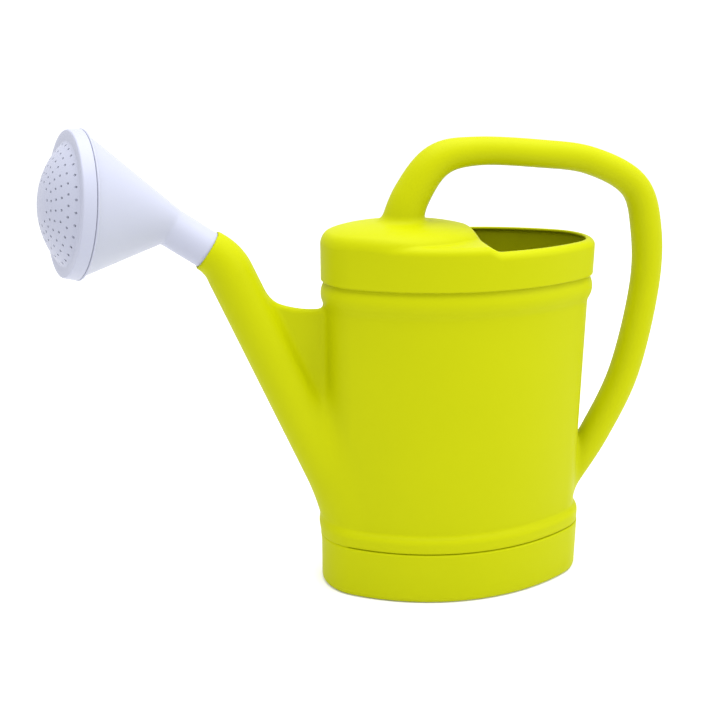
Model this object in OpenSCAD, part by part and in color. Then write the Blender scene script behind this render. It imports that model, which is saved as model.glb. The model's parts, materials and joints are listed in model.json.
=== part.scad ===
// Watering can with an oval tank, a loop handle and a push-on rose.
// +X points to the back (the handle), -X to the spout, +Z up.
// The origin is the centre of the tank's flat bottom.

/* [Tank] */
// Half of the length of the plain wall, outside
tank_half_length = 125; // [90:1:170]
// Half of the width of the plain wall, outside
tank_half_width = 64.5; // [56:0.5:85]
// Radius of the tank's rounded ends
tank_end_radius = 40; // [35:1:48]
// Thickness of the can's moulded wall
wall = 2.5; // [1.5:0.1:4]
// Height of the base band
base_height = 50.7; // [30:0.1:60]
// How far the base band stands out from the plain wall
base_out = 5; // [3:0.5:8]
// Height of the lower half-round rib
low_rib_height = 17.3; // [10:0.1:24]
// How far the lower rib stands out
low_rib_out = 4.6; // [2:0.1:6]
// Height at which the plain wall ends and the upper rib starts
plain_top = 279; // [240:1:340]
// Height of the upper half-round rib
high_rib_height = 22; // [12:0.5:26]
// How far the upper rib stands out
high_rib_out = 3.6; // [2:0.1:6]

/* [Mouth and cover] */
// Width of the groove above the upper rib
groove = 1.6; // [1:0.1:3]
// How far the top band stands out
band_out = 3.3; // [2:0.1:6]
// Height of the straight part of the top band
band_height = 26; // [16:1:40]
// Radius of the mouth's rolled lip
lip_radius = 7; // [4:0.5:9]
// Width of the lip, from the band's face to the cut edge of the mouth
lip_width = 8.7; // [8:0.1:12]
// How much higher the cover's shoulder is than the lip
cover_step = 4.5; // [2:0.5:10]
// Radius of the cover's shoulder
shoulder_radius = 6.5; // [4:0.5:9]
// Distance of the cover's free edge behind the middle of the tank
cover_edge = 13; // [0:1:30]
// Distance of the dome's middle in front of the middle of the tank
dome_forward = 50; // [45:1:55]
// Radius of the dome where it leaves the flat of the cover
dome_radius = 50; // [40:0.5:51]
// Height of the dome above the flat of the cover
dome_height = 17.5; // [10:0.5:24]

/* [Handle] */
// Thickness of the grip
grip_diameter = 25; // [20:0.5:30]
// Thickness of the handle where it comes down to the tank
handle_low_diameter = 29; // [22:0.5:34]
// Thickness of the handle's foot on the cover
handle_foot_diameter = 38; // [30:1:46]
// Height of the grip's middle line above the mouth
grip_rise = 79; // [60:1:110]
// Distance of the handle's middle line behind the tank's plain wall
handle_reach = 63; // [45:1:90]
// Height at which the handle's middle line meets the tank
handle_low = 96; // [80:1:140]

/* [Spout] */
// Height of the spout's middle line where it leaves the tank
spout_low = 122; // [110:1:150]
// Slope of the spout's straight part
spout_slope = 66.3; // [55:0.1:72]
// Slope of the spout's mouth
mouth_slope = 34.5; // [25:0.5:45]
// Length of the spout's straight part outside the tank
spout_straight = 210.5; // [150:1:260]
// Radius of the bend below the mouth, along the middle line
bend_radius = 42; // [35:1:70]
// Length of the straight collar at the mouth
collar_length = 5; // [3:0.5:12]
// Diameter of the spout at the tank
spout_low_diameter = 45; // [36:0.5:52]
// Diameter of the spout at the bend
spout_high_diameter = 41.5; // [36:0.5:48]
// Diameter of the spout's mouth, outside
mouth_diameter = 37.6; // [37:0.1:42]
// Thickness of the gusset between the spout and the tank
gusset_thickness = 8; // [5:0.5:14]
// Height of the gusset's top edge at the tank
gusset_top = 277; // [200:1:278]
// Radius of the gusset's top edge where it runs up to the spout
gusset_radius = 55; // [30:1:80]

/* [Rose] */
// Diameter of the rose's neck, outside
neck_diameter = 33.8; // [30:0.1:34]
// Length of the neck outside the spout
neck_length = 36.4; // [25:0.1:60]
// Depth of the neck inside the spout
neck_depth = 14; // [8:1:18]
// Thickness of the rose's moulded walls
rose_wall = 1.8; // [1.2:0.1:2.5]
// Angle between the neck and the line square to the rose's face
rose_tilt = 31.3; // [15:0.1:45]
// How far the rose is turned in the spout, from hanging straight down
rose_turn = 37; // [0:1:90]
// Length of the rose's cone along the face's own line
cone_length = 76.9; // [60:0.1:110]
// How far the cone's wide end is moved sideways towards the top
cone_skew = 15; // [0:0.5:20]
// Diameter of the rose's rim flange
rim_diameter = 124.6; // [100:0.1:150]
// Thickness of the rim flange
rim_thickness = 2; // [1.5:0.1:4]
// Diameter of the rose's face at its front edge
face_diameter = 121; // [98:0.1:148]
// Depth of the face's skirt, with the flange
face_depth = 13; // [10:0.5:20]
// Diameter of the rose's dome
face_dome_diameter = 101; // [80:1:110]
// Height of the rose's dome above the front edge
face_dome_height = 19.5; // [8:0.5:24]
// Diameter of the water holes
hole_diameter = 1.8; // [1.2:0.1:2.5]
// Radius of the outer ring of water holes
hole_ring = 48; // [40:0.5:50]
// Distance between two rings of water holes
ring_pitch = 6; // [5:0.1:7]

/* [Fits] */
// Gap between the neck and the spout's bore, on the radius
neck_gap = 0.08; // [0.02:0.01:0.1]
// Gap between the rose body's spigot and the face, on the radius
face_gap = 0.08; // [0.02:0.01:0.1]
// Gap between the edge of the face's skirt and the flange
skirt_gap = 0.3; // [0.3:0.1:1]

/* [Hidden] */
can_colour = [0.80, 0.84, 0.03];
rose_colour = [0.87, 0.87, 0.94];
$fn = 96;
far = 1000;

// The tank's oval is four arcs: two ends and two sides that meet them without a corner.
end_x = tank_half_length - tank_end_radius;
side_radius = (pow(tank_half_length, 2) - 2 * tank_half_length * tank_end_radius
    + pow(tank_half_width, 2)) / (2 * (tank_half_width - tank_end_radius));
side_y = side_radius - tank_half_width;
end_angle = atan2(side_y, end_x);

// Heights of the tank's stages
wall_start = base_height;
band_start = plain_top + high_rib_height + groove;
lip_start = band_start + band_height;
mouth_z = lip_start + lip_radius;
cover_z = mouth_z + cover_step;
shoulder_start = cover_z - shoulder_radius;
dome_z = cover_z + dome_height;
dome_sphere = (pow(dome_radius, 2) + pow(dome_height, 2)) / (2 * dome_height);

// The spout's middle line: straight, then a bend, then the collar
mouth_bend = spout_slope - mouth_slope;
spout_root = [-tank_half_length, spout_low];
bend_start = spout_root + spout_straight * [-cos(spout_slope), sin(spout_slope)];
bend_centre = bend_start + bend_radius * [-sin(spout_slope), -cos(spout_slope)];
collar_start = bend_centre + bend_radius * [sin(mouth_slope), cos(mouth_slope)];
mouth = collar_start + collar_length * [-cos(mouth_slope), sin(mouth_slope)];
bore_radius = neck_diameter / 2 + neck_gap;
neck_bore = neck_diameter / 2 - rose_wall;

// The rose's head
rim_radius = rim_diameter / 2;
face_radius = face_diameter / 2;
face_bore = face_radius - rose_wall;
spigot_radius = face_bore - face_gap;
spigot_length = face_depth - rose_wall - 3;
cone_radius = rim_radius - 2.5;
face_dome_radius = face_dome_diameter / 2;
face_sphere = (pow(face_dome_radius, 2) + pow(face_dome_height, 2)) / (2 * face_dome_height);
ring_holes = [30, 30, 24, 22, 20, 12];
tab_angle = 149;

// The handle's middle line and its thickness: [x, z, diameter]
grip_z = mouth_z + grip_rise;
handle_back = tank_half_length + handle_reach;
handle_points = [
    [-dome_forward - 23, dome_z - 50, handle_foot_diameter],
    [-dome_forward - 8, dome_z - 16, handle_foot_diameter],
    [-dome_forward + 4, dome_z + 19, handle_foot_diameter - 4],
    [-dome_forward + 27, grip_z - 8, grip_diameter + 5.5],
    [-dome_forward + 63, grip_z, grip_diameter + 0.5],
    [tank_half_length - 53, grip_z - 3.5, grip_diameter],
    [tank_half_length - 3, grip_z - 11, grip_diameter],
    [handle_back - 22, grip_z - 34, grip_diameter + 1.5],
    [handle_back - 4, grip_z - 73, handle_low_diameter - 0.5],
    [handle_back, grip_z - 130, handle_low_diameter - 1],
    [handle_back - 13, handle_low + 104, handle_low_diameter],
    [handle_back - 38, handle_low + 43, handle_low_diameter],
    [tank_half_length - 4, handle_low - 3, handle_low_diameter],
    [tank_half_length - 26, handle_low - 36, handle_low_diameter],
    [tank_half_length - 48, handle_low - 69, handle_low_diameter]
];

// Points of an arc in a profile
function arc(centre, radius, from, to, steps = 8) = [
    for (i = [0:steps]) let(angle = from + (to - from) * i / steps)
        centre + radius * [cos(angle), sin(angle)]
];

// A list of points without its two ends
function inside_of(points) = [for (i = [1:len(points) - 2]) points[i]];

// The tank's oval, moved out by d, from height z to z + h
module oval(d, z, h) {
    strip = end_x + (tank_end_radius + d) * cos(end_angle);
    translate([0, 0, z]) {
        for (side = [-1, 1])
            translate([side * end_x, 0, 0]) cylinder(r = tank_end_radius + d, h = h);
        intersection() {
            translate([0, -side_y, 0]) cylinder(r = side_radius + d, h = h, $fn = 360);
            translate([0, side_y, 0]) cylinder(r = side_radius + d, h = h, $fn = 360);
            translate([-strip, -far / 2, 0]) cube([2 * strip, far, h]);
        }
    }
}

// The same oval as a plate with many straight sides
module plate(d, z, h) {
    r = tank_end_radius + d;
    side = side_radius + d;
    outline = concat(
        arc([end_x, 0], r, -end_angle, end_angle, 24),
        inside_of(arc([0, -side_y], side, end_angle, 180 - end_angle, 24)),
        arc([-end_x, 0], r, 180 - end_angle, 180 + end_angle, 24),
        inside_of(arc([0, side_y], side, 180 + end_angle, 360 - end_angle, 24))
    );
    translate([0, 0, z]) linear_extrude(h) polygon(outline);
}

// A profile swept once round the oval: x is the distance out from the plain wall
module round_oval(points) {
    side_angle = 180 - 2 * end_angle;
    for (turn = [0, 180]) rotate([0, 0, turn]) {
        translate([end_x, 0, 0]) rotate([0, 0, -end_angle])
            rotate_extrude(angle = 2 * end_angle)
                translate([tank_end_radius, 0]) polygon(points);
        translate([0, -side_y, 0]) rotate([0, 0, end_angle])
            rotate_extrude(angle = side_angle, $fn = 240)
                translate([side_radius, 0]) polygon(points);
    }
}

// A shell profile: an outer line and the same line one wall further in
function shell(line) = concat(line, [for (i = [len(line) - 1:-1:0]) line[i] - [wall, 0]]);

// The outer line of a half-round rib
function rib(z, h, out) =
    let(r = (h * h / 4 + out * out) / (2 * out), a = asin(h / 2 / r))
    arc([out - r, z + h / 2], r, -a, a, 12);

// Half of the space, in front of (-1) or behind (1) the cover's free edge
module beside_edge(side) {
    translate([side < 0 ? cover_edge - far : cover_edge, -far / 2, 0]) cube([far, far, far]);
}

module tank_base() color(can_colour) {
    difference() {
        plate(base_out, 0, wall_start);
        plate(base_out - wall, wall, wall_start - 2 * wall);
        plate(-wall, wall_start - 2 * wall, 3 * wall);
    }
}

module tank_wall() color(can_colour) {
    outside = concat(
        rib(wall_start, low_rib_height, low_rib_out),
        rib(plain_top, high_rib_height, high_rib_out),
        [[0, band_start]]
    );
    difference() {
        round_oval(shell(outside));
        translate([spout_root[0], 0, spout_root[1]]) rotate([0, spout_slope - 90, 0])
            cylinder(r = spout_low_diameter / 2 - wall, h = 130, center = true);
        handle_bore(len(handle_points) - 2, len(handle_points) - 1);
    }
}

module top_band() color(can_colour) {
    face = [[0, band_start], [band_out - 1, band_start], [band_out, band_start + 1], [band_out, lip_start]];
    lip = concat([[band_out, lip_start]],
        arc([band_out - lip_radius, lip_start], lip_radius, 0, 90),
        [[band_out - lip_width, mouth_z], [band_out - lip_width, mouth_z - wall]],
        arc([band_out - lip_radius, lip_start], lip_radius - wall, 90, 0));
    round_oval(concat(face, [[band_out - wall, lip_start], [band_out - wall, band_start + wall],
        [-wall, band_start + wall], [-wall, band_start]]));
    intersection() {
        round_oval(lip);
        beside_edge(1);
    }
}

// The solid dome, drawn smaller by d and going down to the height low
module dome(d, low) {
    edge = asin((dome_radius - d) / (dome_sphere - d));
    top = arc([0, dome_z - dome_sphere], dome_sphere - d, 90 - edge, 90, 12);
    translate([-dome_forward, 0, 0]) rotate_extrude()
        polygon(concat([[0, low], [top[0][0], low]], inside_of(concat([[0, 0]], top)), [[0, dome_z - d]]));
}

module top_cover() color(can_colour) {
    centre = [band_out - shoulder_radius, shoulder_start];
    shoulder = concat([[band_out, lip_start]], arc(centre, shoulder_radius, 0, 90),
        [[band_out - shoulder_radius - 2, cover_z], [band_out - shoulder_radius - 2, cover_z - wall]],
        arc(centre, shoulder_radius - wall, 90, 0), [[band_out - wall, lip_start]]);
    difference() {
        union() {
            round_oval(shoulder);
            plate(band_out - shoulder_radius - 1, cover_z - wall, wall);
            dome(0, cover_z - 1);
        }
        beside_edge(1);
        dome(wall, cover_z - 2 * wall);
        handle_bore(1, 2);
    }
}

// Triangles between two neighbouring rings whose first points are numbers p and q
function band(p, q, n) = [
    for (i = [0:n - 1]) let(j = (i + 1) % n)
        each [[p + i, q + j, q + i], [p + i, p + j, q + j]]
];

// A solid through a list of rings
module skin(rings) {
    n = len(rings[0]);
    last = (len(rings) - 1) * n;
    polyhedron(
        points = [for (ring = rings) each ring],
        faces = concat(
            [[for (i = [n - 1:-1:0]) i]],
            [for (k = [0:len(rings) - 2]) each band(k * n, (k + 1) * n, n)],
            [[for (i = [0:n - 1]) last + i]]
        ),
        convexity = 4
    );
}

// A tube with its outside and its hollow each given as a list of rings
module tube(outside, hollow) {
    n = len(outside[0]);
    rings = concat(outside, [for (i = [len(hollow) - 1:-1:0]) hollow[i]], [outside[0]]);
    count = len(rings) - 1;
    polyhedron(
        points = [for (k = [0:count - 1]) each rings[k]],
        faces = [for (k = [0:count - 1]) each band(k * n, ((k + 1) % count) * n, n)],
        convexity = 6
    );
}

// A ring of radius r about the point [x, z] of a line that climbs at the angle slope from +X
function ring(point, slope, r, n = 24) = [
    for (i = [0:n - 1]) let(a = 360 * i / n)
        [point[0] - r * cos(a) * sin(slope), r * sin(a), point[1] + r * cos(a) * cos(slope)]
];

// A smooth line through a list of points, and its slope
function between(p, k, t) = let(a = p[k - 1], b = p[k], c = p[k + 1], d = p[k + 2])
    0.5 * (2 * b + t * (c - a) + t * t * (2 * a - 5 * b + 4 * c - d) + t * t * t * (3 * b - a - 3 * c + d));
function slope_of(p, k, t) = let(step = between(p, k, t + 0.01) - between(p, k, t - 0.01))
    atan2(step[1], step[0]);

// The handle's rings, drawn thinner by d on the radius
function handle_rings(d) = let(
        steps = 3,
        places = concat(
            [for (k = [1:len(handle_points) - 3]) for (i = [0:steps - 1]) [k, i / steps]],
            [[len(handle_points) - 3, 1]]
        )
    ) [
        for (place = places) let(p = between(handle_points, place[0], place[1]))
            ring(p, slope_of(handle_points, place[0], place[1]), p[2] / 2 - d)
    ];

// Bores where the hollow handle opens into the cover and into the tank
module handle_bore(at, next) {
    r = handle_points[at][2] / 2 - wall;
    along = handle_points[next] - handle_points[at];
    translate([handle_points[at][0], 0, handle_points[at][1]])
        rotate([0, atan2(along[0], along[1]), 0]) cylinder(r = r, h = 60, center = true);
}

module handle() color(can_colour) {
    difference() {
        tube(handle_rings(0), handle_rings(wall));
        dome(0, cover_z - 20);
        oval(0, 0, lip_start);
    }
}

// The spout's middle line, starting inside the tank: [place, slope, share of the way to the mouth]
function spout_places() = concat(
    [for (s = [-56, -20, 0.25 * spout_straight, 0.5 * spout_straight, 0.75 * spout_straight])
        [spout_root + s * [-cos(spout_slope), sin(spout_slope)], spout_slope, s / spout_straight, 0]],
    [for (i = [0:8]) let(a = spout_slope - mouth_bend * i / 8)
        [bend_centre + bend_radius * [sin(a), cos(a)], a, 1, i / 9]],
    [[mouth, mouth_slope, 1, 1]]
);

// The spout's rings, from its radii at the tank, at the bend and at the mouth
function spout_rings(low, high, end) = [
    for (place = spout_places()) let(r = low + (high - low) * max(0, place[2]))
        ring(place[0], 180 - place[1], r + (end - r) * place[3])
];
spout_outside = spout_rings(spout_low_diameter / 2, spout_high_diameter / 2, mouth_diameter / 2);
spout_hollow = spout_rings(spout_low_diameter / 2 - wall, spout_high_diameter / 2 - wall, neck_bore);

module at_mouth() translate([mouth[0], 0, mouth[1]]) rotate([0, mouth_slope - 90, 0]) children();

module spout() color(can_colour) {
    difference() {
        tube(spout_outside, spout_hollow);
        at_mouth() translate([0, 0, -neck_depth - 0.5]) cylinder(r = bore_radius, h = far);
        oval(0, 0, lip_start);
        oval(low_rib_out, 0, wall_start + low_rib_height);
    }
}

module spout_gusset() color(can_colour) {
    top = arc([-tank_half_length - 8, gusset_top + gusset_radius], gusset_radius, 270, 212);
    along = [-cos(spout_slope), sin(spout_slope)];
    outline = concat([[-tank_half_length + 8, gusset_top]], top,
        [spout_root + 0.9 * spout_straight * along, spout_root + 30 * along,
            [-tank_half_length + 8, spout_low + 27]]);
    difference() {
        rotate([90, 0, 0]) linear_extrude(gusset_thickness, center = true) polygon(outline);
        skin(spout_outside);
        oval(0, 0, lip_start);
    }
}

module at_rose() at_mouth() rotate([0, 0, rose_turn]) children();

module at_face() at_rose()
    translate([0, 0, neck_length]) rotate([0, -rose_tilt, 0]) translate([cone_skew, 0, cone_length])
        children();

// The two ends of the rose's cone, drawn smaller by d.  The wide end is sunk into the rim.
sink = 0.5;
function cone_rings(d, n = 64) = [
    [for (i = [0:n - 1]) let(a = -360 * i / n, r = neck_diameter / 2 - d)
        [r * cos(a), r * sin(a), neck_length]],
    [for (i = [0:n - 1]) let(a = -360 * i / n, x = cone_skew + (cone_radius - d) * cos(a))
        [x * cos(rose_tilt) - (cone_length + sink) * sin(rose_tilt), (cone_radius - d) * sin(a),
            neck_length + x * sin(rose_tilt) + (cone_length + sink) * cos(rose_tilt)]]
];

module rose_neck() color(rose_colour) {
    at_rose() translate([0, 0, -neck_depth]) difference() {
        cylinder(r = neck_diameter / 2, h = neck_depth + neck_length);
        translate([0, 0, -1]) cylinder(r = neck_bore, h = far);
    }
}

module rose_body() color(rose_colour) {
    at_rose() tube(cone_rings(0), cone_rings(rose_wall));
    at_face() difference() {
        union() {
            cylinder(r = rim_radius, h = rim_thickness);
            cylinder(r = spigot_radius, h = rim_thickness + spigot_length);
        }
        translate([0, 0, -1]) cylinder(r = spigot_radius - rose_wall, h = far);
    }
}

module rose_face() color(rose_colour) {
    skirt_start = rim_thickness + skirt_gap;
    sphere_z = face_depth + face_dome_height - face_sphere;
    at_face() difference() {
        union() {
            translate([0, 0, skirt_start])
                cylinder(r1 = rim_radius - 0.3, r2 = face_radius, h = face_depth - skirt_start);
            intersection() {
                translate([0, 0, sphere_z]) sphere(r = face_sphere);
                translate([0, 0, face_depth - 1]) cylinder(r = face_dome_radius, h = far);
            }
            rotate([0, 0, tab_angle]) translate([rim_radius - 2, -2.5, skirt_start])
                cube([4.5, 5, 2.5]);
        }
        cylinder(r = face_bore, h = face_depth - rose_wall);
        intersection() {
            translate([0, 0, sphere_z]) sphere(r = face_sphere - rose_wall);
            cylinder(r = face_dome_radius - 0.5, h = far);
        }
        for (k = [0:len(ring_holes) - 1]) for (i = [0:ring_holes[k] - 1])
            rotate([0, 0, (i + 0.5 * (k % 2)) * 360 / ring_holes[k]])
                translate([hole_ring - k * ring_pitch, 0, face_depth - 3])
                    cylinder(d = hole_diameter, h = 30, $fn = 16);
    }
}

tank_base();
tank_wall();
top_band();
top_cover();
handle();
spout();
spout_gusset();
rose_neck();
rose_body();
rose_face();
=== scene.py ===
"""A lime watering can moulded in one piece, with a pale rose that pushes into its spout.

Lengths are millimetres in the can's own frame, and become metres when a mesh is made.
"""

import json
import math

import bmesh
import bpy
import numpy as np
import openvdb
from mathutils import Matrix, Vector


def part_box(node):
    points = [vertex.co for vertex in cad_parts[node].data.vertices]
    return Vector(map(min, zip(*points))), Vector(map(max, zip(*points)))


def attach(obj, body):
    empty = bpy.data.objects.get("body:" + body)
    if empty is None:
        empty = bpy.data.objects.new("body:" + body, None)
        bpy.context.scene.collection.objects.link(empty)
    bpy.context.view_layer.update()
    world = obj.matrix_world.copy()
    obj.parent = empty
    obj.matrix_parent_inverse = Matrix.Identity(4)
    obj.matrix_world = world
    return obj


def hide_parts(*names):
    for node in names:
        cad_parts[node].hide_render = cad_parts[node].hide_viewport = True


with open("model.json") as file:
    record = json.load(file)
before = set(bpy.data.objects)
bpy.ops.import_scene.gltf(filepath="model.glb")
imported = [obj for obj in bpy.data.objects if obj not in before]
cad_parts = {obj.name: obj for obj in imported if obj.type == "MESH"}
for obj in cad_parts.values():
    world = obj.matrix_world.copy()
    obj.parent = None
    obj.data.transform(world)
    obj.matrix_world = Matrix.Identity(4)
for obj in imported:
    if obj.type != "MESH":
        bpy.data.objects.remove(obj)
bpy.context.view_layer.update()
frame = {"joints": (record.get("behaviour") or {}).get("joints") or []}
joints = {j["name"]: j for j in frame["joints"]}
MM = 0.001


def node_box(node):
    """The lowest and highest corner of a CAD node, in millimetres."""
    low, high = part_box(node)
    return np.array(low) / MM, np.array(high) / MM


# ------------------------------------------------------------------ sizes of the tank
END_RADIUS = 40.0
BASE_OUT, BASE_FOOT_ROUND, BASE_TOP_ROUND = 5.0, 4.0, 1.6
LOW_RIB_OUT, LOW_RIB_HEIGHT, LOW_RIB_ROUND = 4.6, 17.3, 7.5
HIGH_RIB_OUT, HIGH_RIB_HEIGHT = 3.6, 22.0
GROOVE, BAND_OUT = 1.6, 3.3
WALL = 2.5
LIP_ROUND, LIP_WIDTH = 6.8, 8.7
SHELL_EDGE, SPOUT_EDGE, MOUTH_CUT = 0.8, 1.0, 15.0
COVER_STEP, COVER_EDGE = 4.9, 13.0
STEP_FROM, STEP_TO = 20.0, 6.0
DOME_MIDDLE, DOME_HALF_LENGTH, DOME_HALF_WIDTH, DOME_HEIGHT = -55.0, 74.0, 54.0, 15.0

base_high = node_box("tank_base")[1]
HALF_LENGTH = base_high[0] - BASE_OUT
HALF_WIDTH = base_high[1] - BASE_OUT
BASE_TOP = base_high[2]
BAND_START = node_box("top_band")[0][2]
MOUTH_TOP = node_box("top_band")[1][2]
END_X = HALF_LENGTH - END_RADIUS
SIDE_RADIUS = (HALF_LENGTH**2 - 2 * HALF_LENGTH * END_RADIUS + HALF_WIDTH**2) / (
    2 * (HALF_WIDTH - END_RADIUS)
)
SIDE_Y = SIDE_RADIUS - HALF_WIDTH

# ------------------------------------------------------------------ sizes of the spout and handle
SPOUT_SLOPE, MOUTH_SLOPE = math.radians(66.3), math.radians(34.5)
SPOUT_STRAIGHT, BEND_RADIUS, COLLAR = 210.5, 42.0, 5.0
SPOUT_RADII = 22.5, 20.75, 18.8
BORE_RADIUS, BORE_DEPTH = 16.98, 14.5
GUSSET_HALF, GUSSET_TOP, GUSSET_RADIUS, GUSSET_END = 4.0, 277.0, 90.0, 305.0
GUSSET_ARC_OUT, GUSSET_SINK = 8.0, 7.0
SPOUT_BLEND, HANDLE_BLEND, GUSSET_BLEND = 21.0, 7.0, 7.0

# The line runs on into the tank and past the mouth, where the can's other shapes cut it off
SPOUT_RUN_IN, SPOUT_RUN_OUT, BEND_TAPER = 56.0, 30.0, 0.85
# The handle is drawn this much nearer to the tank than its solid
HANDLE_IN = 2.0

mouth_at = np.array(joints["rose_turn"]["pos_m"])[[0, 2]] / MM
mouth_axis = np.array(joints["rose_turn"]["axis"])[[0, 2]]
grip_top = node_box("handle")[1][2]
handle_back = node_box("handle")[1][0] - HANDLE_IN

# Middle line of the handle from the cover round to the tank's back: x, z and thickness
HANDLE = [
    (-73, grip_top - 119.5, 38),
    (-58, grip_top - 85.5, 38),
    (-46, grip_top - 50.5, 34),
    (-23, grip_top - 20.5, 30.5),
    (13, grip_top - 12.6, 25.5),
    (72, grip_top - 16, 25),
    (122, grip_top - 23.5, 25),
    (166, grip_top - 46.5, 26.5),
    (handle_back - 18.5, grip_top - 85.5, 28.5),
    (handle_back - 14.5, grip_top - 142.5, 28),
    (handle_back - 27.5, grip_top - 227, 29),
    (handle_back - 52.5, grip_top - 288, 29),
    (121, grip_top - 334, 29),
    (99, grip_top - 367, 29),
    (77, grip_top - 400, 29),
]


def spout_line():
    """Rows of x, z and radius along the spout's middle line, from the tank past the mouth."""
    low, bend, end = SPOUT_RADII
    out = np.array([-math.cos(SPOUT_SLOPE), math.sin(SPOUT_SLOPE)])
    collar = mouth_at - COLLAR * mouth_axis
    centre = collar - BEND_RADIUS * np.array([math.sin(MOUTH_SLOPE), math.cos(MOUTH_SLOPE)])
    turned = np.array([math.sin(SPOUT_SLOPE), math.cos(SPOUT_SLOPE)])
    bend_start = centre + BEND_RADIUS * turned
    root = bend_start - SPOUT_STRAIGHT * out
    rows = [(*(root - SPOUT_RUN_IN * out), low), (*root, low), (*bend_start, bend)]
    for share in np.linspace(0, 1, 17)[1:]:
        angle = SPOUT_SLOPE + (MOUTH_SLOPE - SPOUT_SLOPE) * share
        place = centre + BEND_RADIUS * np.array([math.sin(angle), math.cos(angle)])
        rows.append((*place, bend + (end - bend) * share * BEND_TAPER))
    rows.append((*mouth_at, end))
    rows.append((*(mouth_at + SPOUT_RUN_OUT * mouth_axis), end))
    return np.array(rows), root, out


def smooth_line(points, steps=10):
    """A smooth line through points, without the first and the last, which only steer it."""
    p = np.array(points, float)
    t = np.linspace(0, 1, steps, endpoint=False)[:, None]
    rows = []
    for a, b, c, d in zip(p[:-3], p[1:-2], p[2:-1], p[3:]):
        rows.append(
            0.5
            * (
                2 * b
                + t * (c - a)
                + t**2 * (2 * a - 5 * b + 4 * c - d)
                + t**3 * (3 * b - a - 3 * c + d)
            )
        )
    line = np.vstack([*rows, p[-2:-1]])
    line[:, 2] /= 2
    return line


# ------------------------------------------------------------------ the can as a field of distances
# Each function gives how far places are from a surface: negative inside, positive outside.


def round_and(a, b, radius):
    """The space inside both a and b, with the edge between them rounded."""
    corner = np.hypot(np.maximum(a + radius, 0), np.maximum(b + radius, 0))
    return np.minimum(np.maximum(a, b), -radius) + corner


def smooth_or(a, b, width):
    """The space inside a or b, with a soft fillet between them."""
    near = np.maximum(width - np.abs(a - b), 0) / width
    return np.minimum(a, b) - near * near * width / 4


def oval(x, y):
    """The oval of the plain wall, seen from above."""
    ax, ay = np.abs(x), np.abs(y)
    at_end = ax * SIDE_Y > END_X * (ay + SIDE_Y)
    return np.where(
        at_end, np.hypot(ax - END_X, ay) - END_RADIUS, np.hypot(ax, ay + SIDE_Y) - SIDE_RADIUS
    )


def top_height(x, y):
    """Height of the can's top: the lip, and in front of it the cover with its dome."""
    share = np.clip((x - STEP_FROM) / (STEP_TO - STEP_FROM), 0, 1)
    share = share * share * (3 - 2 * share)
    out = ((x - DOME_MIDDLE) / DOME_HALF_LENGTH) ** 2 + (y / DOME_HALF_WIDTH) ** 2
    rise = np.sqrt((1 - out + np.hypot(1 - out, 0.03)) / 2)
    return MOUTH_TOP + COVER_STEP * share + DOME_HEIGHT * rise * share


def tank(x, y, z):
    """The tank from outside, closed at the top."""
    s = oval(x, y)
    base = round_and(s - BASE_OUT, z - BASE_TOP, BASE_TOP_ROUND)
    low_rib = round_and(s - LOW_RIB_OUT, z - BASE_TOP - LOW_RIB_HEIGHT, LOW_RIB_ROUND)
    low_rib = round_and(low_rib, BASE_TOP + 0.4 - z, 2.2)
    bulge = (HIGH_RIB_HEIGHT**2 / 4 + HIGH_RIB_OUT**2) / (2 * HIGH_RIB_OUT)
    rib_middle = BAND_START - GROOVE - HIGH_RIB_HEIGHT / 2
    high_rib = np.hypot(s - HIGH_RIB_OUT + bulge, z - rib_middle) - bulge
    band = round_and(s - BAND_OUT, BAND_START - z, 1.0)
    solid = smooth_or(s, low_rib, 1.5)
    solid = np.minimum(smooth_or(solid, high_rib, 2.0), np.minimum(base, band))
    solid = round_and(solid, -z, BASE_FOOT_ROUND)
    return round_and(solid, z - top_height(x, y), LIP_ROUND)


class Tube:
    """A bent round tube about a line in the plane y = 0, kept as tables over that plane."""

    STEP = 1.0
    LOW = np.array([-262.0, -8.0])
    COUNT = 476, 450

    def __init__(self, line):
        x = self.LOW[0] + self.STEP * np.arange(self.COUNT[0])[:, None]
        z = self.LOW[1] + self.STEP * np.arange(self.COUNT[1])[None, :]
        self.square = np.full(self.COUNT, 1e9)
        self.radius = np.zeros(self.COUNT)
        for (ax, az, ar), (bx, bz, br) in zip(line[:-1], line[1:]):
            ux, uz = bx - ax, bz - az
            t = np.clip(((x - ax) * ux + (z - az) * uz) / (ux * ux + uz * uz), 0, 1)
            square = (x - ax - t * ux) ** 2 + (z - az - t * uz) ** 2
            nearer = square < self.square
            self.square = np.where(nearer, square, self.square)
            self.radius = np.where(nearer, ar + t * (br - ar), self.radius)

    def look_up(self, table, x, z):
        i = np.clip((x - self.LOW[0]) / self.STEP, 0, self.COUNT[0] - 1.001)
        j = np.clip((z - self.LOW[1]) / self.STEP, 0, self.COUNT[1] - 1.001)
        i0, j0 = i.astype(int), j.astype(int)
        u, v = i - i0, j - j0
        near = table[i0, j0] * (1 - v) + table[i0, j0 + 1] * v
        return near * (1 - u) + (table[i0 + 1, j0] * (1 - v) + table[i0 + 1, j0 + 1] * v) * u

    def __call__(self, x, y, z):
        return np.sqrt(self.look_up(self.square, x, z) + y * y) - self.look_up(self.radius, x, z)


spout_rows, spout_root, spout_out = spout_line()
spout = Tube(spout_rows)
handle = Tube(smooth_line(HANDLE))


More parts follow.
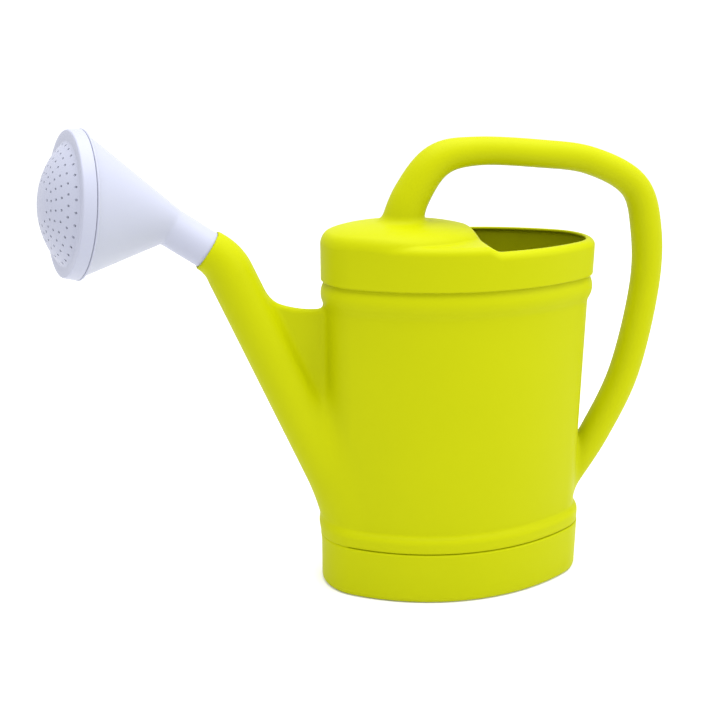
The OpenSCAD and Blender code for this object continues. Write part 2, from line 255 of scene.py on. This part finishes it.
def gusset(x, y, z):
    """The thin web between the spout and the tank."""
    centre_x, centre_z = -HALF_LENGTH - GUSSET_ARC_OUT, GUSSET_TOP + GUSSET_RADIUS
    arc = GUSSET_RADIUS - np.hypot(x - centre_x, z - centre_z)
    past_spout = (x - spout_root[0]) * -spout_out[1] + (z - spout_root[1]) * spout_out[0]
    in_tank = x + HALF_LENGTH - GUSSET_SINK
    flat = np.maximum(np.maximum(arc, z - GUSSET_END), np.maximum(past_spout, in_tank))
    return round_and(flat, np.abs(y) - GUSSET_HALF, GUSSET_HALF - 0.2)


def can(x, y, z):
    """The whole moulding: its outside, less the hollow, the mouth and the spout's bore."""
    tank_and_spout = smooth_or(tank(x, y, z), spout(x, y, z), SPOUT_BLEND)
    outside = smooth_or(tank_and_spout, handle(x, y, z), HANDLE_BLEND)
    outside = smooth_or(outside, gusset(x, y, z), GUSSET_BLEND)
    along = (x - mouth_at[0]) * mouth_axis[0] + (z - mouth_at[1]) * mouth_axis[1]
    across = (x - mouth_at[0]) * mouth_axis[1] - (z - mouth_at[1]) * mouth_axis[0]
    outside = round_and(outside, along, SPOUT_EDGE)
    hollow = tank_and_spout + WALL
    opening = np.maximum(COVER_EDGE - x, oval(x, y) - BAND_OUT + LIP_WIDTH)
    opening = np.maximum(opening, np.maximum(BAND_START - z, z - MOUTH_TOP - MOUTH_CUT))
    bore = np.maximum(np.hypot(across, y) - BORE_RADIUS, -along - BORE_DEPTH)
    shell = round_and(outside, -hollow, SHELL_EDGE)
    shell = round_and(shell, -opening, SHELL_EDGE)
    return np.maximum(shell, -bore)


# ------------------------------------------------------------------ meshes


def new_piece(name, points, faces, body, material, replaced):
    """A smooth-shaded piece in metres that rides on a body."""
    mesh = bpy.data.meshes.new(name)
    mesh.from_pydata((np.asarray(points) * MM).tolist(), [], faces)
    mesh.validate()
    mesh.polygons.foreach_set("use_smooth", np.ones(len(mesh.polygons), bool))
    piece = bpy.data.objects.new(name, mesh)
    bpy.context.scene.collection.objects.link(piece)
    mesh.materials.append(material)
    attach(piece, body)
    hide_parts(*replaced)
    return piece


def levels(low, high, step, fine, fine_places):
    """Places from low to high, one step apart, and closer together in the fine places."""
    places = [low]
    while places[-1] < high:
        inside = any(a - step < places[-1] < b for a, b in fine_places)
        places.append(places[-1] + (fine if inside else step))
    return np.array(places)


def field_mesh(field, x, y, z, reach):
    """Points and faces where a field is zero; it is the same on both sides of y = 0."""
    values = field(x[:, None, None], y[None, :, None], z[None, None, :])
    values = np.clip(values, -reach, reach).astype(np.float32)
    values = np.concatenate([values[:, :0:-1], values], axis=1)
    grid = openvdb.FloatGrid(float(reach))
    grid.copyFromArray(np.ascontiguousarray(values))
    points, triangles, quads = grid.convertToPolygons(0.0, 0.0)
    whole_y = np.concatenate([-y[:0:-1], y])
    at = [np.interp(points[:, k], np.arange(len(v)), v) for k, v in enumerate((x, whole_y, z))]
    return np.stack(at, axis=1), [*triangles.tolist(), *quads.tolist()]


def settle(mesh, field, rounds, most):
    """Moves each vertex onto the field's surface, along its normal."""
    for _ in range(rounds):
        count = len(mesh.vertices)
        at, normals = np.zeros(count * 3), np.zeros(count * 3)
        mesh.vertices.foreach_get("co", at)
        mesh.vertex_normals.foreach_get("vector", normals)
        at, normals = at.reshape(-1, 3) / MM, normals.reshape(-1, 3)
        move = np.clip(field(*at.T), -most, most)
        mesh.vertices.foreach_set("co", ((at - normals * move[:, None]) * MM).ravel())
        mesh.update()


def loft(rings):
    """Faces through rings of equally many points, from the last ring back to the first as well."""
    n, count = len(rings[0]), len(rings)
    faces = []
    for k in range(count):
        a, b = k * n, (k + 1) % count * n
        for i in range(n):
            j = (i + 1) % n
            faces.append((a + i, a + j, b + j, b + i))
    return np.vstack(rings), faces


def turned_profile(profile, n):
    """A profile of radius and height turned round its own axis, from pole to pole."""
    angle = np.arange(n) * 2 * math.pi / n
    points = [(0, 0, profile[0][1])]
    for radius, height in profile[1:-1]:
        points.extend((radius * math.cos(a), radius * math.sin(a), height) for a in angle)
    points.append((0, 0, profile[-1][1]))
    faces = [(0, 1 + i, 1 + (i + 1) % n) for i in range(n)]
    for k in range(len(profile) - 3):
        a, b = 1 + k * n, 1 + (k + 1) * n
        faces.extend((a + i, b + i, b + (i + 1) % n, a + (i + 1) % n) for i in range(n))
    last, end = 1 + (len(profile) - 3) * n, len(points) - 1
    faces.extend((end, last + (i + 1) % n, last + i) for i in range(n))
    return np.array(points, float), faces


def arc(centre, radius, start, end, steps):
    """Points of an arc; angles are in degrees."""
    angles = np.radians(np.linspace(start, end, steps + 1))
    return [(centre[0] + radius * math.cos(a), centre[1] + radius * math.sin(a)) for a in angles]


# ------------------------------------------------------------------ materials


def plastic(name, colour, deep_colour, roughness, shine):
    """Satin moulded plastic: faint clouds of colour, uneven polish and a fine matt grain."""
    material = bpy.data.materials.new(name)
    material.use_nodes = True
    nodes, links = material.node_tree.nodes, material.node_tree.links
    shader = nodes["Principled BSDF"]
    shader.inputs["IOR"].default_value = 1.5
    shader.inputs["Specular IOR Level"].default_value = shine

    place = nodes.new("ShaderNodeTexCoord")
    clouds = nodes.new("ShaderNodeTexNoise")
    clouds.inputs["Scale"].default_value = 14
    clouds.inputs["Detail"].default_value = 3
    links.new(place.outputs["Object"], clouds.inputs["Vector"])
    tint = nodes.new("ShaderNodeMix")
    tint.data_type = "RGBA"
    tint.inputs["A"].default_value = (*deep_colour, 1)
    tint.inputs["B"].default_value = (*colour, 1)
    links.new(clouds.outputs["Fac"], tint.inputs["Factor"])
    links.new(tint.outputs["Result"], shader.inputs["Base Color"])

    scuffs = nodes.new("ShaderNodeTexNoise")
    scuffs.inputs["Scale"].default_value = 60
    scuffs.inputs["Detail"].default_value = 5
    links.new(place.outputs["Object"], scuffs.inputs["Vector"])
    polish = nodes.new("ShaderNodeMapRange")
    polish.inputs["To Min"].default_value = roughness - 0.06
    polish.inputs["To Max"].default_value = roughness + 0.06
    links.new(scuffs.outputs["Fac"], polish.inputs["Value"])
    links.new(polish.outputs["Result"], shader.inputs["Roughness"])

    grain = nodes.new("ShaderNodeTexNoise")
    grain.inputs["Scale"].default_value = 900
    grain.inputs["Detail"].default_value = 2
    links.new(place.outputs["Object"], grain.inputs["Vector"])
    bump = nodes.new("ShaderNodeBump")
    bump.inputs["Strength"].default_value = 0.06
    bump.inputs["Distance"].default_value = 0.0004
    links.new(grain.outputs["Fac"], bump.inputs["Height"])
    links.new(bump.outputs["Normal"], shader.inputs["Normal"])
    return material


can_plastic = plastic("can_plastic", (0.385, 0.41, 0.0), (0.365, 0.39, 0.0), 0.5, 0.06)
rose_plastic = plastic("rose_plastic", (0.37, 0.385, 0.475), (0.355, 0.37, 0.46), 0.45, 0.25)

# ------------------------------------------------------------------ camera
camera = bpy.data.objects.new("camera", bpy.data.cameras.new("camera"))
camera.data.lens = 50
camera.data.sensor_width = 36
camera.location = (-0.2616, -0.8675, 0.5154)
camera_aim = Vector((-0.0926, 0, 0.2256))
camera.rotation_mode = "QUATERNION"
camera.rotation_quaternion = (camera_aim - camera.location).to_track_quat("-Z", "Y")
bpy.context.scene.collection.objects.link(camera)
bpy.context.scene.camera = camera

# ------------------------------------------------------------------ the can
STEP = 1.6
grid_x = np.arange(-250, 208, STEP)
grid_y = np.arange(0, 76, STEP)
fine_places = [
    (BASE_TOP - 3, BASE_TOP + 4),
    (BAND_START - 5, BAND_START + 2),
    (MOUTH_TOP - 8, MOUTH_TOP + 8),
]
grid_z = levels(-6, grip_top + 6, STEP, STEP / 2.4, fine_places)
points, faces = field_mesh(can, grid_x, grid_y, grid_z, 3 * STEP)
can_nodes = ["tank_base", "tank_wall", "top_band", "top_cover", "handle", "spout", "spout_gusset"]
can_piece = new_piece(
    "can_moulding", points, faces, "can", can_plastic, can_nodes
)
settle(can_piece.data, can, 2, 0.8)

# ------------------------------------------------------------------ sizes of the rose
NECK_RADIUS, NECK_DEPTH, NECK_LENGTH, ROSE_WALL = 16.9, 14.0, 36.4, 1.8
CONE_LENGTH, CONE_SKEW, CONE_RADIUS = 76.9, 15.0, 59.8
RIM_RADIUS, RIM_THICKNESS = 62.3, 2.0
FACE_RADIUS, FACE_DEPTH, SKIRT_START = 60.5, 13.0, 2.3
FACE_DOME_RADIUS, FACE_DOME_HEIGHT = 50.5, 19.5
SPIGOT_RADIUS, SPIGOT_LENGTH = 58.62, 8.2
HOLE_RADIUS, HOLE_RING, RING_PITCH = 1.1, 48.0, 6.0
RING_HOLES = [30, 30, 24, 22, 20, 12]

# The rose's own frame: Z out of the spout, and the face's axis in the plane of X and Z
neck_axis = Vector(joints["rose_turn"]["axis"]).normalized()
face_axis = Vector(joints["face_off"]["axis"]).normalized()
ROSE_TILT = neck_axis.angle(face_axis)
side_axis = (neck_axis * math.cos(ROSE_TILT) - face_axis).normalized()
rose_frame = Matrix((side_axis, neck_axis.cross(side_axis), neck_axis)).transposed().to_4x4()
rose_frame.translation = Vector(joints["rose_turn"]["pos_m"]) / MM
face_frame = (
    rose_frame
    @ Matrix.Translation((0, 0, NECK_LENGTH))
    @ Matrix.Rotation(-ROSE_TILT, 4, "Y")
    @ Matrix.Translation((CONE_SKEW, 0, CONE_LENGTH))
)


def placed(matrix, points):
    """Points moved by a matrix."""
    points = np.asarray(points, float)
    return points @ np.array(matrix.to_3x3()).T + np.array(matrix.translation)


RING_POINTS = 128
around = np.arange(RING_POINTS) * 2 * math.pi / RING_POINTS


def circle(matrix, radius, height):
    """A ring of points about a frame's own Z axis."""
    flat = [radius * np.cos(around), radius * np.sin(around), np.full(RING_POINTS, height)]
    return placed(matrix, np.stack(flat, axis=1))


def cone_ring(share, inwards):
    """A ring of the rose's cone, from the neck (0) to the rim (1)."""
    small = circle(rose_frame, NECK_RADIUS - inwards, NECK_LENGTH)
    wide = circle(face_frame, CONE_RADIUS - inwards, 0)
    return small * (1 - share) + wide * share


rim_edge = arc((RIM_RADIUS - 1, 1), 1, -90, 90, 6)
body_rings = [
    circle(rose_frame, NECK_RADIUS - 0.6, -NECK_DEPTH),
    circle(rose_frame, NECK_RADIUS, -NECK_DEPTH + 0.8),
    circle(rose_frame, NECK_RADIUS, 0),
    circle(rose_frame, NECK_RADIUS, NECK_LENGTH * 0.5),
    circle(rose_frame, NECK_RADIUS, NECK_LENGTH - 1),
    *[cone_ring(share, 0) for share in (0.012, 0.04, 0.25, 0.5, 0.75, 0.93, 0.985)],
    circle(face_frame, CONE_RADIUS + 0.4, 0),
    *[circle(face_frame, radius, height) for radius, height in rim_edge],
    circle(face_frame, SPIGOT_RADIUS + 0.5, RIM_THICKNESS),
    circle(face_frame, SPIGOT_RADIUS, RIM_THICKNESS + 0.5),
    circle(face_frame, SPIGOT_RADIUS, RIM_THICKNESS + SPIGOT_LENGTH),
    circle(face_frame, SPIGOT_RADIUS - ROSE_WALL, RIM_THICKNESS + SPIGOT_LENGTH),
    circle(face_frame, SPIGOT_RADIUS - ROSE_WALL, 0.3),
    *[cone_ring(share, ROSE_WALL) for share in (0.97, 0.75, 0.5, 0.25, 0.03)],
    circle(rose_frame, NECK_RADIUS - ROSE_WALL, NECK_LENGTH - 1),
    circle(rose_frame, NECK_RADIUS - ROSE_WALL, -NECK_DEPTH),
]
points, faces = loft(body_rings)
rose_body = new_piece(
    "rose_shell", points, faces, "rose", rose_plastic, ["rose_neck", "rose_body"],
)
rose_body.data.set_sharp_from_angle(angle=math.radians(50))

# ------------------------------------------------------------------ the rose's face
sphere = (FACE_DOME_RADIUS**2 + FACE_DOME_HEIGHT**2) / (2 * FACE_DOME_HEIGHT)
sphere_z = FACE_DEPTH + FACE_DOME_HEIGHT - sphere
dome_edge = math.degrees(math.acos(FACE_DOME_RADIUS / sphere))
outer_dome = arc((0, sphere_z), sphere, 90, dome_edge, 26)
inner_dome = arc((0, sphere_z), sphere - ROSE_WALL, dome_edge, 90, 26)
skirt_edge = arc((FACE_RADIUS - 1.6, FACE_DEPTH - 1.6), 1.6, 90, 4, 5)
profile = [
    *outer_dome,
    (FACE_DOME_RADIUS + 1.0, FACE_DEPTH - 0.3),
    (FACE_DOME_RADIUS + 3.0, FACE_DEPTH),
    *skirt_edge,
    (RIM_RADIUS - 0.5, SKIRT_START + 0.3),
    (RIM_RADIUS - 0.9, SKIRT_START),
    (FACE_RADIUS - ROSE_WALL, SKIRT_START),
    (FACE_RADIUS - ROSE_WALL, FACE_DEPTH - ROSE_WALL),
    (FACE_DOME_RADIUS, FACE_DEPTH - ROSE_WALL),
    *inner_dome,
]
points, faces = turned_profile(profile, RING_POINTS)
face_piece = new_piece(
    "rose_front", placed(face_frame, points), faces, "face", rose_plastic, ["rose_face"],
)


def hole_cutters():
    """One mesh of all the pins that make the water holes."""
    pins = bmesh.new()
    for k, count in enumerate(RING_HOLES):
        for i in range(count):
            angle = (i + 0.5 * (k % 2)) * 2 * math.pi / count
            radius = HOLE_RING - k * RING_PITCH
            height = sphere_z + math.sqrt(sphere**2 - radius**2) - ROSE_WALL / 2
            at = Matrix.Translation((radius * math.cos(angle), radius * math.sin(angle), height))
            bmesh.ops.create_cone(
                pins, cap_ends=True, segments=14, radius1=HOLE_RADIUS, radius2=HOLE_RADIUS,
                depth=12, matrix=face_frame @ at,
            )
    bmesh.ops.scale(pins, vec=(MM, MM, MM), verts=pins.verts)
    mesh = bpy.data.meshes.new("pins")
    pins.to_mesh(mesh)
    pins.free()
    return bpy.data.objects.new("pins", mesh)


def cut(piece, cutter):
    """Cuts one object out of a piece's mesh, and removes the cutter."""
    bpy.context.scene.collection.objects.link(cutter)
    boolean = piece.modifiers.new("cut", "BOOLEAN")
    boolean.operation = "DIFFERENCE"
    boolean.solver = "EXACT"
    boolean.object = cutter
    whole = piece.evaluated_get(bpy.context.evaluated_depsgraph_get())
    mesh = bpy.data.meshes.new_from_object(whole)
    piece.modifiers.clear()
    piece.data = mesh
    bpy.data.objects.remove(cutter)


cut(face_piece, hole_cutters())
face_piece.data.set_sharp_from_angle(angle=math.radians(40))

# ------------------------------------------------------------------ floor, light and background
FLOOR_HALF = 2
floor_material = bpy.data.materials.new("floor")
floor_material.use_nodes = True
floor_shader = floor_material.node_tree.nodes["Principled BSDF"]
floor_shader.inputs["Base Color"].default_value = (0.85, 0.85, 0.85, 1)
floor_shader.inputs["Roughness"].default_value = 0.9
floor_mesh = bpy.data.meshes.new("floor")
CORNERS = [(-1, -1), (1, -1), (1, 1), (-1, 1)]
floor_corners = [(x * FLOOR_HALF, y * FLOOR_HALF, 0) for x, y in CORNERS]
floor_mesh.from_pydata(floor_corners, [], [(0, 1, 2, 3)])
floor_mesh.materials.append(floor_material)
floor = bpy.data.objects.new("floor", floor_mesh)
bpy.context.scene.collection.objects.link(floor)

world = bpy.data.worlds.new("world")
bpy.context.scene.world = world
world.use_nodes = True
world.node_tree.nodes["Background"].inputs["Color"].default_value = (1, 1, 1, 1)
world.node_tree.nodes["Background"].inputs["Strength"].default_value = 1.15


def soft_light(name, place, aim, size, power):
    """A square lamp that faces a point."""
    lamp = bpy.data.lights.new(name, "AREA")
    lamp.shape = "SQUARE"
    lamp.size = size
    lamp.energy = power
    light = bpy.data.objects.new(name, lamp)
    light.location = place
    light.rotation_mode = "QUATERNION"
    light.rotation_quaternion = (Vector(aim) - Vector(place)).to_track_quat("-Z", "Y")
    bpy.context.scene.collection.objects.link(light)


soft_light("overhead", (0.15, -0.1, 2.4), (0, 0, 0.2), 2.4, 75)
soft_light("right", (1.9, -1.2, 1.3), (0, 0, 0.2), 1.2, 16)

bpy.context.scene.view_settings.view_transform = "Standard"
